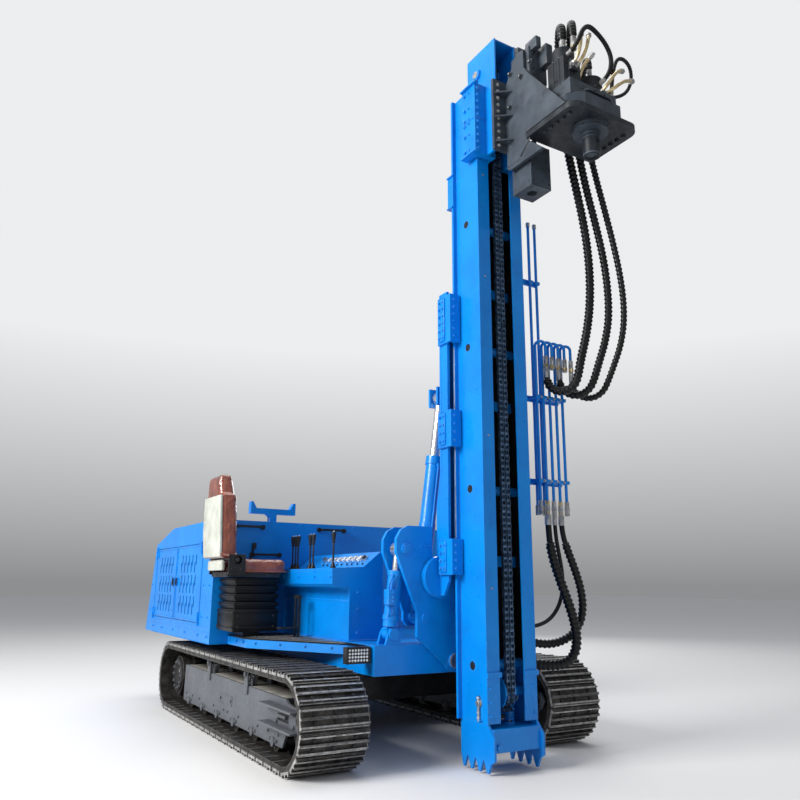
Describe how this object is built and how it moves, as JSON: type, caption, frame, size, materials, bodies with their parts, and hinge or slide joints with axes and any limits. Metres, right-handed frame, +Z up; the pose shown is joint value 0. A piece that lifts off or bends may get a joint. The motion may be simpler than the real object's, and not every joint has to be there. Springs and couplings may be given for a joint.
{
  "type": "pile driver rig",
  "caption": "Tracked pile driving rig with an upright front mast, drive head, side operator seat, lever console and a sloped rear engine hood.",
  "frame": {"origin": "on the ground under the centre of the bounding box", "axes": "+X forward towards the mast, +Y to the machine's left, +Z up"},
  "size_m": [5.15, 2.52, 5.175],
  "materials": {
    "blue_paint": "gloss",
    "slate_paint": "satin",
    "motor_paint": "satin",
    "track_steel": "worn",
    "frame_paint": "satin",
    "black_paint": "satin",
    "chrome": "polished",
    "steel": "satin",
    "rubber": "matt",
    "leather": "satin",
    "board": "matt",
    "black_plastic": "gloss",
    "brass": "satin"
  },
  "bodies": {
    "machine": {"track_right": "track_steel", "track_left": "track_steel", "track_frame_right": "frame_paint", "track_frame_left": "frame_paint", "track_rollers": "track_steel", "front_idlers": "track_steel", "drive_sprockets": "track_steel", "centre_frame": "black_paint", "chassis": "blue_paint", "boom_pivot_pin": "steel", "hood": "blue_paint", "engine_block": "motor_paint", "tool_cradle": "blue_paint", "hood_handles": "black_paint", "deck_plate": "steel", "deck_frame": "blue_paint", "console_box": "blue_paint", "panel_gauges": "steel", "control_levers": "steel", "pedal_stand": "black_paint", "seat_post": "black_paint", "seat_bellows": "rubber", "seat_frame": "black_paint", "seat_cushion": "leather", "seat_back": "board", "travel_lever": "black_plastic", "work_lamp": "black_paint"},
    "rear_door": {"hood_door_rear": "blue_paint"},
    "front_door": {"hood_door_front": "blue_paint"},
    "boom": {"boom_plates": "blue_paint"},
    "tilt_barrel": {"tilt_cylinder_barrel": "blue_paint"},
    "tilt_rod": {"tilt_cylinder_rod": "chrome"},
    "carrier": {"slide_frame": "blue_paint", "guide_blocks": "blue_paint", "hose_glands": "steel", "base_hose_inner": "rubber", "base_hose_outer": "rubber", "base_hose_thin": "rubber"},
    "swing_barrel": {"swing_cylinder_barrel": "blue_paint"},
    "swing_rod": {"swing_cylinder_rod": "chrome"},
    "mast": {"mast_channel": "blue_paint", "mast_top_box": "blue_paint", "mast_foot": "blue_paint", "chain_wheels": "steel", "lift_chain": "steel", "steel_pipes": "steel", "pipe_brackets": "blue_paint", "pipe_fittings": "steel", "head_hose_inner": "rubber", "head_hose_middle": "rubber", "head_hose_outer": "rubber"},
    "head": {"mast_clamps": "blue_paint", "head_frame": "slate_paint", "head_base_plate": "slate_paint", "gearbox": "slate_paint", "head_motors": "motor_paint", "guide_tube": "slate_paint", "head_ports": "brass"},
    "spindle_shaft": {"spindle": "steel"}
  },
  "joints": [
    {"name": "rear_door_hinge", "type": "hinge", "parent": "machine", "child": "rear_door", "pos_m": [-2.286, -1.15, 1.12], "axis": [0, 0, 1], "range_deg": [-110, 0]},
    {"name": "front_door_hinge", "type": "hinge", "parent": "machine", "child": "front_door", "pos_m": [-0.709, -1.15, 1.12], "axis": [0, 0, 1], "range_deg": [0, 110]},
    {"name": "boom_tilt", "type": "hinge", "parent": "machine", "child": "boom", "pos_m": [1.225, 0.06, 0.622], "axis": [1, 0, 0], "range_deg": [-8, 8]},
    {"name": "tilt_barrel_hinge", "type": "hinge", "parent": "machine", "child": "tilt_barrel", "pos_m": [1.16, -0.395, 0.8], "axis": [1, 0, 0], "range_deg": [-9.92, 9.92]},
    {"name": "tilt_rod_slide", "type": "slide", "parent": "tilt_barrel", "child": "tilt_rod", "axis": [0, 0.1163, 0.9932], "range_m": [-0.068, 0.068]},
    {"name": "mast_swing", "type": "hinge", "parent": "boom", "child": "carrier", "pos_m": [1.25, 0.06, 1.17], "axis": [1, 0, 0], "range_deg": [-10, 10]},
    {"name": "swing_barrel_hinge", "type": "hinge", "parent": "boom", "child": "swing_barrel", "pos_m": [1.16, -0.175, 0.905], "axis": [1, 0, 0], "range_deg": [-8.3, 8.3]},
    {"name": "swing_rod_slide", "type": "slide", "parent": "swing_barrel", "child": "swing_rod", "axis": [0, 0.1299, 0.9915], "range_m": [-0.036, 0.036]},
    {"name": "mast_slide", "type": "slide", "parent": "carrier", "child": "mast", "axis": [0, 0, 1], "range_m": [0, 0.55], "deforming": ["base_hose_inner", "base_hose_outer", "base_hose_thin"]},
    {"name": "head_slide", "type": "slide", "parent": "mast", "child": "head", "axis": [0, 0, 1], "range_m": [-3.55, 0], "deforming": ["head_hose_inner", "head_hose_middle", "head_hose_outer"]},
    {"name": "spindle_spin", "type": "hinge", "parent": "head", "child": "spindle_shaft", "pos_m": [2.415, 0.435, 4.1], "axis": [0, 0, 1], "continuous": true}
  ],
  "couplings": [
    {"joint": "tilt_barrel_hinge", "follows": "boom_tilt", "ratio": 1.2217},
    {"joint": "tilt_rod_slide", "follows": "boom_tilt", "m_per_rad": -0.47262},
    {"joint": "swing_barrel_hinge", "follows": "mast_swing", "ratio": 0.81419},
    {"joint": "swing_rod_slide", "follows": "mast_swing", "m_per_rad": -0.19859}
  ]
}
